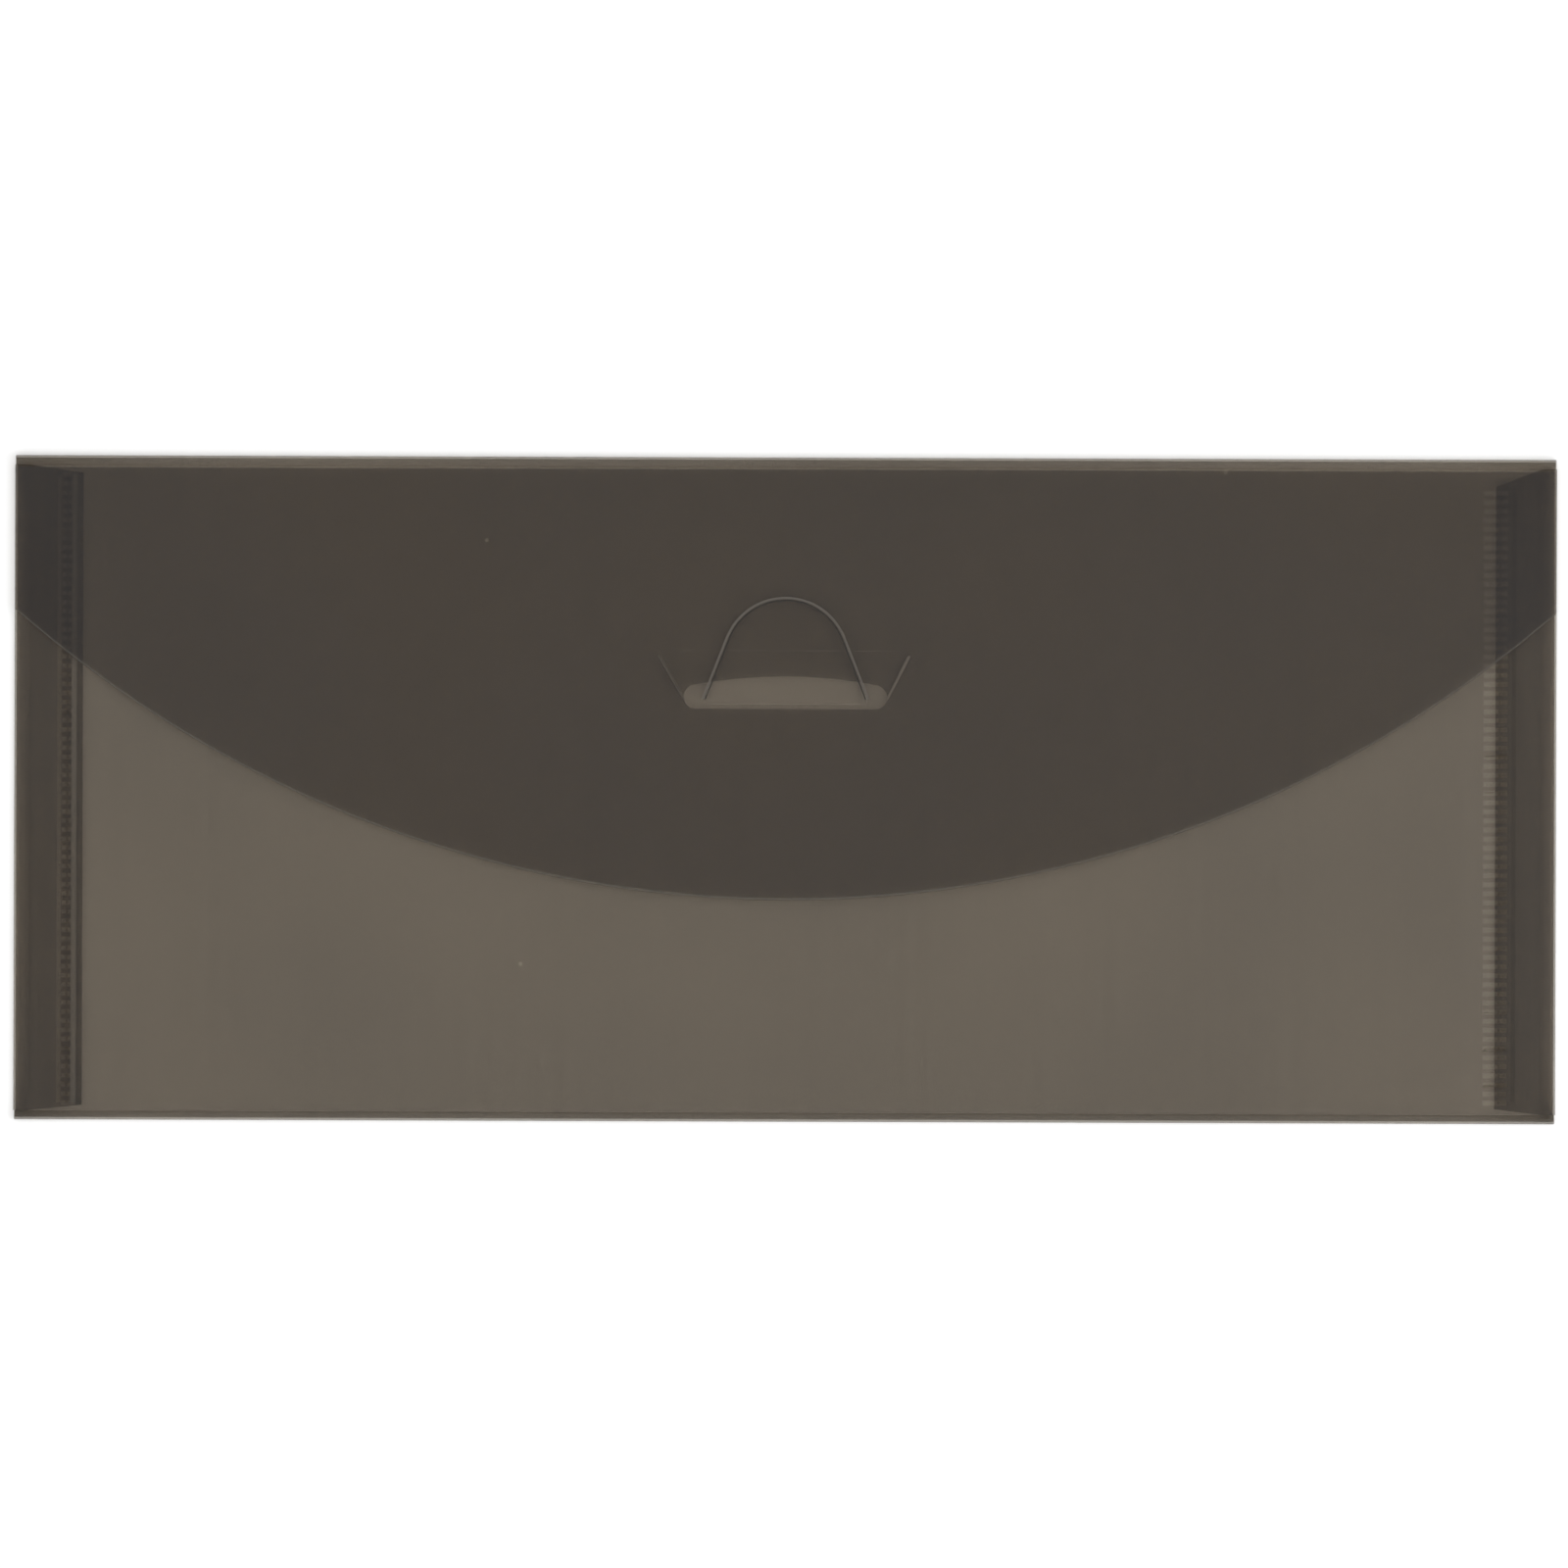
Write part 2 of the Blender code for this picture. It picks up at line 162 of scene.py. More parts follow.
def polypropylene(name, look):
    material = bpy.data.materials.new(name)
    material.use_nodes = True
    tree = material.node_tree
    tree.nodes.clear()
    place = addNode(tree, "ShaderNodeTexCoord", {}).outputs["Object"]
    acrossLines = (1 / (look["streakWidth"] * mm), 0, look["streakShift"])
    lines = addNode(
        tree,
        "ShaderNodeVectorMath",
        {"operation": "DOT_PRODUCT", 1: acrossLines},
        [(0, place)],
    )
    streaks = addNode(
        tree,
        "ShaderNodeTexNoise",
        {"noise_dimensions": "1D", "Scale": 1, "Detail": 2},
        [("W", lines.outputs["Value"])],
    )
    clouds = addNode(
        tree,
        "ShaderNodeTexNoise",
        {"noise_dimensions": "2D", "Scale": 1 / (look["cloudSize"] * mm), "Detail": 0},
        [("Vector", place)],
    )
    drift = addNode(
        tree,
        "ShaderNodeMath",
        {"operation": "ADD"},
        [(0, streaks.outputs[0]), (1, clouds.outputs[0])],
    )
    drift = addNode(  # the two noises add up to 0.7 to 1.3 over most of the sheet
        tree,
        "ShaderNodeMapRange",
        {
            "From Min": 0.7,
            "From Max": 1.3,
            "To Min": 1 - look["drift"],
            "To Max": 1 + look["drift"],
        },
        [("Value", drift.outputs[0])],
    )
    if "foldShading" in look:  # the attribute is 0 on the flat and 1 at the fold, where it paints fold shading into the tint
        turn = addNode(tree, "ShaderNodeAttribute", {"attribute_name": "turn"})
        drift = addNode(
            tree,
            "ShaderNodeMath",
            {"operation": "MULTIPLY_ADD", 1: look["foldShading"]},
            [(0, turn.outputs["Fac"]), (2, drift.outputs[0])],
        )
    oneFace = [channel ** 0.5 for channel in hexToLinear(look["tint"])[:3]]  # a sheet has two faces
    tint = addNode(
        tree,
        "ShaderNodeVectorMath",
        {"operation": "SCALE", 0: oneFace},
        [("Scale", drift.outputs[0])],
    )
    clear = addNode(tree, "ShaderNodeBsdfTransparent", {}, [("Color", tint.outputs[0])])
    grain = addNode(
        tree,
        "ShaderNodeTexNoise",
        {"noise_dimensions": "2D", "Scale": 1 / (look["grainSize"] * mm), "Detail": 0},
        [("Vector", place)],
    )
    bump = addNode(
        tree,
        "ShaderNodeBump",
        {"Strength": look["grainStrength"], "Distance": look["grainDepth"] * mm},
        [("Height", grain.outputs[0])],
    )
    rough = addNode(  # the clouds are at 0.3 to 0.7 over most of the sheet
        tree,
        "ShaderNodeMapRange",
        {
            "From Min": 0.3,
            "From Max": 0.7,
            "To Min": look["roughLow"],
            "To Max": look["roughHigh"],
        },
        [("Value", clouds.outputs[0])],
    )
    skin = addNode(
        tree,
        "ShaderNodeBsdfPrincipled",
        {
            "Base Color": hexToLinear(look["skin"]),
            "IOR": look["ior"],
            "Specular IOR Level": look["gloss"],
        },
        [("Roughness", rough.outputs[0]), ("Normal", bump.outputs[0])],
    )
    facing = addNode(tree, "ShaderNodeLayerWeight", {"Blend": 0.5})
    slant = addNode(
        tree,
        "ShaderNodeMath",
        {"operation": "POWER", 1: look["slantPower"]},
        [(0, facing.outputs["Facing"])],
    )
    share = addNode(
        tree,
        "ShaderNodeMath",
        {"operation": "MULTIPLY_ADD", 1: look["slantHaze"], 2: look["haze"]},
        [(0, slant.outputs[0])],
    )
    if "nickSpacing" in look:
        scatter = addNode(
            tree,
            "ShaderNodeTexVoronoi",
            {"voronoi_dimensions": "2D", "Scale": 1 / (look["nickSpacing"] * mm)},
            [("Vector", place)],
        )
        nick = addNode(
            tree,
            "ShaderNodeMath",
            {"operation": "LESS_THAN", 1: look["nickSize"] / look["nickSpacing"]},
            [(0, scatter.outputs["Distance"])],
        )
        share = addNode(
            tree,
            "ShaderNodeMath",
            {"operation": "MULTIPLY_ADD", 1: look["nickHaze"]},
            [(0, nick.outputs[0]), (2, share.outputs[0])],
        )
    both = addNode(
        tree,
        "ShaderNodeMixShader",
        {},
        [(0, share.outputs[0]), (1, clear.outputs[0]), (2, skin.outputs[0])],
    )
    addNode(tree, "ShaderNodeOutputMaterial", {}, [("Surface", both.outputs[0])])
    return material


smoke = polypropylene("smoke_polypropylene_sheet", smokeSheet)
handled = polypropylene("handled_polypropylene_sheet", handledSheet)
creased = polypropylene("creased_polypropylene", creasedSheet)
folded = polypropylene("folded_polypropylene", foldedSheet)
scored = polypropylene("scored_polypropylene", scoredSheet)
drawn = polypropylene("drawn_polypropylene_sheet", drawnSheet)
thicker = polypropylene("thicker_drawn_polypropylene_sheet", thickerSheet)
pressed = polypropylene("pressed_polypropylene", pressedSheet)
thinned = polypropylene("thinned_polypropylene", thinnedSheet)
marked = polypropylene("marked_polypropylene", markedSheet)
stressed = polypropylene("stressed_polypropylene", stressedSheet)
creaseShadow = polypropylene("painted_crease_shadow_polypropylene", creaseShadowSheet)
welded = polypropylene("welded_polypropylene", weldedSheet)
joined = polypropylene("joined_polypropylene_edge", joinedSheet)
cutEdge = polypropylene("die_cut_polypropylene_edge", cutSheet)
slitEdge = polypropylene("slit_polypropylene_edge", slitSheet)
lowerSlitEdge = polypropylene("lower_slit_polypropylene_edge", lowerSlitSheet)
closedSlitEdge = polypropylene("closed_slit_polypropylene_edge", closedSlit)
shadedEdge = polypropylene("shaded_slit_polypropylene_edge", shadedSlit)
burnishedHighlight = polypropylene("burnished_highlight_polypropylene_edge", burnishedHighlightSheet)
print("materials made")

# How the upper layers lie: not quite flat, as sheet that has been stacked and handled
layFlat = {
    "waveHeight": 0.05,  # mm
    "waveX": 83.0,  # mm from crest to crest
    "waveY": 61.0,
    "startX": 0.7,  # radians, where the waves start
    "startY": 0.4,
    "lift": 0.5,  # of the wave height, all over
    "holdFrom": 16.0,  # mm from a fold, where the waves have come in fully
}


def easeIn(value):
    value = max(0.0, min(1.0, value))
    return value * value * (3 - 2 * value)


def wave(x, y):  # height of the front's waves, nil at the folds
    hold = layFlat["holdFrom"] * mm
    free = easeIn((halfWidth - abs(x)) / hold)
    free = free * easeIn((y - bottomY) / hold) * easeIn((topY - y) / hold)
    across = math.sin(2 * math.pi * x / (layFlat["waveX"] * mm) + layFlat["startX"])
    up = math.sin(2 * math.pi * y / (layFlat["waveY"] * mm) + layFlat["startY"])
    return layFlat["waveHeight"] * mm * free * (across * up + layFlat["lift"])


def flapWave(x, y):  # sinks towards the front, so the opened flap doesn't dip into what it lies on
    return -abs(wave(-x, y))


touching = 1e-7  # m, points closer than this are one
sliver = 0.02  # mm, edges shorter than this go


# Cuts the faces that a test picks, or all of them, at each place along an axis
def cutAcross(mesh, axis, places, picks=None):
    normal = Vector((0, 0, 0))
    normal[axis] = 1
    for place in places:
        chosen = mesh.faces[:] if picks is None else [f for f in mesh.faces if picks(f)]
        parts = {part for face in chosen for part in (face, *face.edges, *face.verts)}
        bmesh.ops.bisect_plane(
            mesh, geom=list(parts), dist=touching, plane_co=normal * place, plane_no=normal
        )


def evenPlaces(low, high, step):  # in mm, on whole steps
    return [line * step * mm for line in range(math.ceil(low / step), math.floor(high / step) + 1)]


# Right half of a sheet, from its outline in mm, cut into a net so that it can bend. Bands are
# strips along slits and edges, each with a look of its own.
def halfSheet(outline, height, netX=6.0, netY=6.0, bands=()):
    mesh = bmesh.new()
    corners = [mesh.verts.new((x * mm, y * mm, height)) for x, y in outline]
    mesh.faces.new(corners)
    for look, band in enumerate(bands, start=1):
        for (near, far), (nextNear, nextFar) in zip(band, band[1:]):
            points = (near, far, nextFar, nextNear)
            strip = mesh.faces.new([mesh.verts.new((x * mm, y * mm, height)) for x, y in points])
            strip.material_index = look
    bmesh.ops.remove_doubles(mesh, verts=mesh.verts[:], dist=touching)
    spanX = [x for x, y in outline]
    spanY = [y for x, y in outline]
    cutAcross(mesh, 0, evenPlaces(min(spanX) + netX / 2, max(spanX), netX))
    cutAcross(mesh, 1, evenPlaces(min(spanY), max(spanY), netY))
    bmesh.ops.remove_doubles(mesh, verts=mesh.verts[:], dist=sliver * mm)
    return mesh


def mirrorHalf(mesh):
    everything = mesh.verts[:] + mesh.edges[:] + mesh.faces[:]
    bmesh.ops.mirror(
        mesh, geom=everything, matrix=Matrix.Identity(4), merge_dist=touching, axis="X"
    )
    bmesh.ops.remove_doubles(mesh, verts=mesh.verts[:], dist=touching)


def faceUp(mesh):
    bmesh.ops.recalc_face_normals(mesh, faces=mesh.faces[:])
    if sum(face.normal.z * face.calc_area() for face in mesh.faces) < 0:
        bmesh.ops.reverse_faces(mesh, faces=mesh.faces[:])


seamGap = 0.005  # mm, hairline between pieces of the one sheet
seamStrip = 0.5  # mm beside a seam, whose wall is clear because the sheet runs on
cutRound = 0.05  # mm, rounding that the knife leaves
cutRoundSteps = 2
cutCorner = 50  # degrees, edges that turn by more are rounded


# Gives a mesh the sheet's thickness, its looks and its rim. A seam is an axis, a place on it and
# the side that the mesh is on.
def finishSheet(mesh, name, node, looks, rim=cutEdge, gauge=None, edgeRound=cutRound, seams=()):
    for face in mesh.faces:
        face.material_index += 1  # slot 0 is the first look again, for the strips beside the seams
    for axis, place, side in seams:
        cutAcross(mesh, axis, [place + side * seamStrip * mm])
        for face in mesh.faces:
            away = (face.calc_center_median()[axis] - place) * side
            if face.material_index == 1 and 0 < away < seamStrip * mm:
                face.material_index = 0
    data = bpy.data.meshes.new(name)
    mesh.to_mesh(data)
    mesh.free()
    data.shade_smooth()
    for material in (looks[0], *looks, joined, rim):
        data.materials.append(material)
    piece = bpy.data.objects.new(name, data)
    bpy.context.scene.collection.objects.link(piece)
    wall = piece.modifiers.new("sheet", "SOLIDIFY")
    wall.thickness = gauge or sheetGauge
    wall.offset = 0
    wall.material_offset_rim = len(looks) + 1  # the wall is joined beside a seam, and rim elsewhere
    if edgeRound:
        softEdge = piece.modifiers.new("cut edge", "BEVEL")
        softEdge.width = edgeRound * mm
        softEdge.segments = cutRoundSteps
        softEdge.limit_method = "ANGLE"
        softEdge.angle_limit = math.radians(cutCorner)
        softEdge.use_clamp_overlap = False
        softEdge.harden_normals = True
    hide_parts(node)
    print("made", name)
    return piece


# Back sheet: plain, and as large as the folds leave it
back = {"seamTop": 52.2}  # mm
creaseWidth = 1.8  # mm of each sheet that a side fold has stretched
sideRise = midHeight("left_side_flap") - midHeight("back_panel")
sideFoldX = (halfWidth - (sideRise + sheetGauge) / 2) / mm
sideLow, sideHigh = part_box("left_side_fold")
seamBottom = sideLow.y / mm  # the bottom fold starts below the ends of the side folds
backX = sideFoldX - creaseWidth - seamGap
outline = [(0, seamBottom), (backX, seamBottom), (backX, back["seamTop"]), (0, back["seamTop"])]
shape = halfSheet(outline, midHeight("back_panel"), netX=12.0, netY=12.0)
mirrorHalf(shape)
faceUp(shape)
creaseX = backX * mm
backSeams = [
    (0, -creaseX, 1),
    (0, creaseX, -1),
    (1, back["seamTop"] * mm, -1),
    (1, seamBottom * mm, 1),
]
backSheet = finishSheet(shape, "back_sheet", "back_panel", [smoke], seams=backSeams)
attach(backSheet, "pocket")

# Tab, slot and wing slits that make the tuck lock, all in mm
tab = {"tipY": 30.9, "rootY": 14.7, "tipRadius": 10.0, "flare": 21.5, "bend": 0.8, "steps": 24}
slit = {"gap": 0.07, "whitened": 0.38, "shaded": 0.25}
bendStep = 0.2  # net across a root, which has to bend
slot = {
    "halfLength": 16.55,
    "endRadius": 2.0,
    "bottomY": 13.1,
    "archRise": 1.3,
    "wingSpread": 3.9,
    "wingRise": 6.7,
    "rightLean": 0.6,  # how much further in the right wing's tip stands, as the knife has left it
    "leanFade": 6.0,  # width of sheet beside the wing over which that fades out
    "bend": 0.8,
    "steps": 16,
}
tipCentreY = tab["tipY"] - tab["tipRadius"]
flare = math.radians(tab["flare"])


def roundLine(centre, radius, start, end, steps):
    angles = [start + (end - start) * step / steps for step in range(steps + 1)]
    return [(centre[0] + radius * math.cos(a), centre[1] + radius * math.sin(a)) for a in angles]


def tabEdge(growth):  # right side of the tab, from the tip down to its foot at the root line
    radius = tab["tipRadius"] + growth
    tip = roundLine((0, tipCentreY), radius, math.pi / 2, flare, tab["steps"])
    footX = tip[-1][0] + (tip[-1][1] - tab["rootY"]) * math.tan(flare)
    return tip + [(footX, tab["rootY"])]


slotEndY = slot["bottomY"] + slot["endRadius"]
slotEndCentre = (slot["halfLength"] - slot["endRadius"], slotEndY)
lipRootY = slotEndY + slot["wingRise"]
lipSeamY = lipRootY + slot["bend"]
wingRun = Vector((slot["wingSpread"], slot["wingRise"])).normalized()
wingSide = Vector((wingRun.y, -wingRun.x))


def wingLine(offset):  # from the slot's round end up to the wing's tip, on one side of the slit
    foot = Vector((slot["halfLength"], slotEndY)) + wingSide * offset
    arm = foot - Vector(slotEndCentre)
    reach = arm.dot(wingRun)
    inside = arm.length_squared - slot["endRadius"] ** 2
    meet = foot + wingRun * (-reach + math.sqrt(max(0.0, reach * reach - inside)))
    tip = foot + wingRun * ((lipRootY - foot.y) / wingRun.y)
    return tuple(meet), tuple(tip)


def leanWing(mesh):  # moves the right wing's tip in, and the sheet beside it less and less
    fade = slot["leanFade"]
    for vert in mesh.verts:
        x, y = vert.co.x / mm, vert.co.y / mm
        rise = min((y - slotEndY) / slot["wingRise"], 1 - (y - lipSeamY) / fade, 1)
        inside = (x - slotEndCentre[0]) / fade + 1
        outside = 1 - (x - slot["halfLength"] - slot["wingSpread"]) / fade
        beside = min(inside, outside, 1)
        vert.co.x -= slot["rightLean"] * mm * max(0.0, rise) * max(0.0, beside)


def angleAtEnd(point):
    return math.atan2(point[1] - slotEndCentre[1], point[0] - slotEndCentre[0])


# Front sheet: the lock's opening is cut in it, and welding wheels have pressed it along both sides
frontLooks = {
    "plain": handled,
    "slit": lowerSlitEdge,
    "pressed": pressed,
    "marked": marked,
    "stressed": stressed,
    "creaseShadow": creaseShadow,
    "closedSlit": closedSlitEdge,
    "thinned": thinned,
}
front = {
    "sideX": 125.0,
    "mouthY": 52.05,
    "tracks": (  # mm, where a wheel ran, the look it left, and if in one line or tooth by tooth
        ("left", -118.4, -117.7, "pressed", True),
        ("left", -117.6, -116.2, "pressed", False),
        ("left", -116.1, -115.2, "stressed", True),
        ("right", 113.5, 115.5, "marked", False),
        ("right", 115.5, 117.4, "thinned", False),
        # painted crease shadow: a fine dark line beside the right weld
        ("right", 118.1, 118.8, "creaseShadow", True),
    ),
    "toothPitch": 1.48,
    "toothWidth": 0.8,
    "toothInset": 0.2,
    "toothDepth": 0.06,
}
outerMeet, outerTip = wingLine(slit["gap"] / 2)
farMeet, farTip = wingLine(slit["gap"] / 2 + slit["whitened"])
innerMeet, innerTip = wingLine(-slit["gap"] / 2)
slotRound = roundLine(
    slotEndCentre, slot["endRadius"], angleAtEnd(farMeet), -math.pi / 2, slot["steps"]
)
opening = [
    (0, lipSeamY),
    (innerTip[0], lipSeamY),
    innerTip,
    outerTip,
    farTip,
    *slotRound,
    (0, slot["bottomY"]),
]
wingBand = [(outerMeet, farMeet), (outerTip, farTip)]
frontOutline = [
    (0, seamBottom),
    (front["sideX"], seamBottom),
    (front["sideX"], front["mouthY"]),
    (0, front["mouthY"]),
]
shape = halfSheet(frontOutline + opening, midHeight("front_panel"), bands=[wingBand])
mirrorHalf(shape)
leanWing(shape)
toothPitch = front["toothPitch"] * mm
halfTooth = front["toothWidth"] * mm / 2


def dashCount(sideName):
    low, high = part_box(sideName + "_weld_seam")
    return round((high.y - low.y) / toothPitch)


lookNames = list(frontLooks)
for sideName, lowX, highX, lookName, oneLine in front["tracks"]:
    look = lookNames.index(lookName)
    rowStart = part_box(sideName + "_weld_seam")[0].y
    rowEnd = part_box(sideName + "_weld_seam")[1].y
    toothMiddles = [rowStart + tooth * toothPitch for tooth in range(dashCount(sideName) + 1)]

    def inTrack(face):
        return lowX * mm < face.calc_center_median().x < highX * mm

    cutAcross(shape, 0, (lowX * mm, highX * mm))
    if oneLine:
        cutAcross(shape, 1, (rowStart, rowEnd), inTrack)
        for face in shape.faces:
            if inTrack(face) and rowStart < face.calc_center_median().y < rowEnd:
                face.material_index = look
        continue
    toothEnds = [middle + half for middle in toothMiddles for half in (-halfTooth, halfTooth)]
    cutAcross(shape, 1, toothEnds, inTrack)
    teeth = []
    for face in shape.faces:
        spotY = face.calc_center_median().y
        if inTrack(face) and min(abs(spotY - middle) for middle in toothMiddles) < halfTooth:
            face.material_index = look
            teeth.append(face)
    bmesh.ops.inset_region(
        shape,
        faces=teeth,
        thickness=front["toothInset"] * mm,
        use_even_offset=True,
        use_boundary=True,
    )
    dented = list({vert for face in teeth for vert in face.verts})
    bmesh.ops.translate(shape, verts=dented, vec=(0, 0, -front["toothDepth"] * mm))
for vert in shape.verts:
    vert.co.z += wave(vert.co.x, vert.co.y)
faceUp(shape)
for face in shape.faces:  # the left wing has closed up
    if face.material_index == lookNames.index("slit") and face.calc_center_median().x < 0:
        face.material_index = lookNames.index("closedSlit")
frontSeams = [(1, seamBottom * mm, 1), (1, lipSeamY * mm, 1)]
frontSheet = finishSheet(
    shape, "front_sheet", "front_panel", list(frontLooks.values()), seams=frontSeams
)
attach(frontSheet, "pocket")

# Lip over the slot, with a fine net across its root
archRadius = (slotEndCentre[0] ** 2 + slot["archRise"] ** 2) / (2 * slot["archRise"])
archCrownY = slotEndY + slot["endRadius"] + slot["archRise"]
archLean = math.asin(slotEndCentre[0] / archRadius)
arch = roundLine(
    (0, archCrownY - archRadius), archRadius, math.pi / 2, math.pi / 2 - archLean, slot["steps"]
)
lipRound = roundLine(
    slotEndCentre, slot["endRadius"], math.pi / 2, angleAtEnd(innerMeet), slot["steps"]
)
lipSide = (innerTip[0] - seamGap, lipSeamY - seamGap)
lipOutline = arch + lipRound[1:] + [(innerTip[0] - seamGap, innerTip[1]), lipSide, (0, lipSide[1])]
shape = halfSheet(lipOutline, midHeight("slot_lip"))
cutAcross(shape, 1, evenPlaces(lipRootY - slot["bend"], lipRootY + slot["bend"], bendStep))
mirrorHalf(shape)
leanWing(shape)
for vert in shape.verts:
    vert.co.z += wave(vert.co.x, vert.co.y)
faceUp(shape)
lipSeam = (1, lipSide[1] * mm, -1)
slotLip = finishSheet(shape, "slot_lip_strip", "slot_lip", [smoke], seams=[lipSeam])
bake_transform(slotLip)

# Side flaps: folded in from the back sheet and lying inside the pocket, with slanted ends
sideFlap = {
    "footSlant": 0.9,  # mm
    "headSlant": {"left": 1.3, "right": 2.9},
    "spread": {"left": 0.35, "right": -0.08},  # how much further in the flap has been pulled
    "look": {"left": thicker, "right": drawn},
    "net": 13.0,
}
for sideName, sign in (("left", -1), ("right", 1)):
    low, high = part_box(sideName + "_side_flap")
    crease = sign * creaseX
    inner = (high.x if sign < 0 else low.x) - sign * sideFlap["spread"][sideName] * mm
    shape = bmesh.new()
    corners = [
        (crease, low.y),
        (inner, low.y + sideFlap["footSlant"] * mm),
        (inner, high.y - sideFlap["headSlant"][sideName] * mm),
        (crease, high.y),
    ]
    level = midHeight(sideName + "_side_flap")
    shape.faces.new([shape.verts.new((x, y, level)) for x, y in corners])
    cutAcross(shape, 1, evenPlaces(low.y / mm, high.y / mm, sideFlap["net"]))
    faceUp(shape)
    piece = finishSheet(
        shape,
        sideName + "_inner_flap",
        sideName + "_side_flap",
        [sideFlap["look"][sideName]],
        rim=sideFlap["look"][sideName],
        edgeRound=0,
        seams=[(0, crease, -sign)],
    )
    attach(piece, "pocket")

# Folds: the sheet turns half round along the bottom and along both sides
fold = {
    "bottomY": -53.1,  # mm, where the sheet starts to turn
    "bottomX": 125.2,
    "steps": 16,
    "net": 12,
    "creaseLine": 0.45,  # painted fold shading where the pressed strip starts, next to 1 at the turn
    "rim": 0.0,  # and at the outer edge of the turn
}


def halfTurn(name, node, ends, outwards, look, seam, flat):  # flat: mm of sheet beside the turn
    lowZ, highZ = midHeight("back_panel"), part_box(node)[1].z - sheetGauge / 2
    mesh = bmesh.new()
    line = mesh.edges.new([mesh.verts.new((*end, lowZ)) for end in ends])
    bmesh.ops.subdivide_edges(mesh, edges=[line], cuts=fold["net"])
    along = Vector((ends[1][0] - ends[0][0], ends[1][1] - ends[0][1], 0)).normalized()
    outwards = Vector((*outwards, 0))
    turned = along if along.cross(Vector((0, 0, -1))).dot(outwards) > 0 else -along
    bmesh.ops.spin(
        mesh,
        geom=mesh.verts[:] + mesh.edges[:],
        cent=(*ends[0], (lowZ + highZ) / 2),
        axis=turned,
        angle=math.pi,
        steps=fold["steps"],
    )
    bmesh.ops.remove_doubles(mesh, verts=mesh.verts[:], dist=touching)
    # painted fold shading: 1 where the sheet starts to turn, falling to the rim value at the outer
    # edge
    foldShadeMask = mesh.verts.layers.float.new("turn")
    for vert in mesh.verts:
        beyond = (vert.co - Vector((*ends[0], 0))).dot(outwards) / ((highZ - lowZ) / 2)
        vert[foldShadeMask] = 1 - (1 - fold["rim"]) * beyond
    edges = [e for e in mesh.edges if e.is_boundary]
    level = [e for e in edges if abs(e.verts[0].co.z - e.verts[1].co.z) < touching]
    grown = bmesh.ops.extrude_edge_only(mesh, edges=level)["geom"]
    inner = [g for g in grown if isinstance(g, bmesh.types.BMVert)]
    bmesh.ops.translate(mesh, verts=inner, vec=-outwards * flat * mm)
    for vert in inner:
        vert[foldShadeMask] = fold["creaseLine"]
    bmesh.ops.recalc_face_normals(mesh, faces=mesh.faces[:])
    piece = finishSheet(mesh, name, node, [look], edgeRound=0, seams=[seam])
    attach(piece, "pocket")


foldEnds = [(sign * fold["bottomX"] * mm, fold["bottomY"] * mm) for sign in (-1, 1)]
foldSeam = (1, (seamBottom - seamGap) * mm, -1)
pressedWidth = seamBottom - seamGap - fold["bottomY"]
halfTurn("bottom_turn", "bottom_fold", foldEnds, (0, -1), folded, foldSeam, pressedWidth)
for sideName, sign in (("left", -1), ("right", 1)):
    low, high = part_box(sideName + "_side_fold")
    foldX = sign * sideFoldX * mm
    foldEnds = [(foldX, low.y), (foldX, high.y)]
    sideSeam = (0, sign * (sideFoldX - creaseWidth) * mm, sign)
    halfTurn(
        sideName + "_turn",
        sideName + "_side_fold",
        foldEnds,
        (sign, 0),
        creased,
        sideSeam,
        creaseWidth,
    )

# Welds: a row of melted dashes on a thin bead, between each side flap and the front sheet
weld = {
    "beadWidth": 0.4,  # mm
    "dashWidth": {"left": 1.45, "right": 1.1},
    "outerGap": {"left": 0, "right": 0.8},  # from the outer edge of the wheel's run
    "dashLength": 0.8,
    "gauge": 0.1,
}
for sideName, sign in (("left", -1), ("right", 1)):
    low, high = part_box(sideName + "_weld_seam")
    outerX = low.x if sign < 0 else high.x
    dashX = outerX - sign * (weld["outerGap"][sideName] + weld["dashWidth"][sideName] / 2) * mm
    reach = (weld["dashWidth"][sideName] - weld["beadWidth"]) / 2 * mm
    shape = bmesh.new()
    bead = weld["beadWidth"] / 2 * mm
    start = [shape.verts.new((dashX + x, low.y, (low.z + high.z) / 2)) for x in (-bead, bead)]
    growing = shape.edges.new(start)
    gap = (toothPitch - weld["dashLength"] * mm) / 2
    for tooth in range(dashCount(sideName)):
        for stage, run in enumerate((gap, weld["dashLength"] * mm, gap)):
            grown = bmesh.ops.extrude_edge_only(shape, edges=[growing])["geom"]
            ends = [g for g in grown if isinstance(g, bmesh.types.BMVert)]
            bmesh.ops.translate(shape, verts=ends, vec=(0, run, 0))
            edges = [g for g in grown if isinstance(g, bmesh.types.BMEdge)]
            growing = next(e for e in edges if set(e.verts) == set(ends))
            if stage != 1:
                continue
            added = next(g for g in grown if isinstance(g, bmesh.types.BMFace))
            sides = [e for e in added.edges if abs(e.verts[0].co.x - e.verts[1].co.x) < touching]
            for edge in sides:
                outward = 1 if edge.verts[0].co.x > dashX else -1
                wings = bmesh.ops.extrude_edge_only(shape, edges=[edge])["geom"]
                tips = [g for g in wings if isinstance(g, bmesh.types.BMVert)]
                bmesh.ops.translate(shape, verts=tips, vec=(outward * reach, 0, 0))
    faceUp(shape)
    piece = finishSheet(
        shape,
        sideName + "_weld_row",
        sideName + "_weld_seam",
        [welded],
        rim=welded,
        gauge=weld["gauge"] * mm,
        edgeRound=0,
    )
    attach(piece, "pocket")

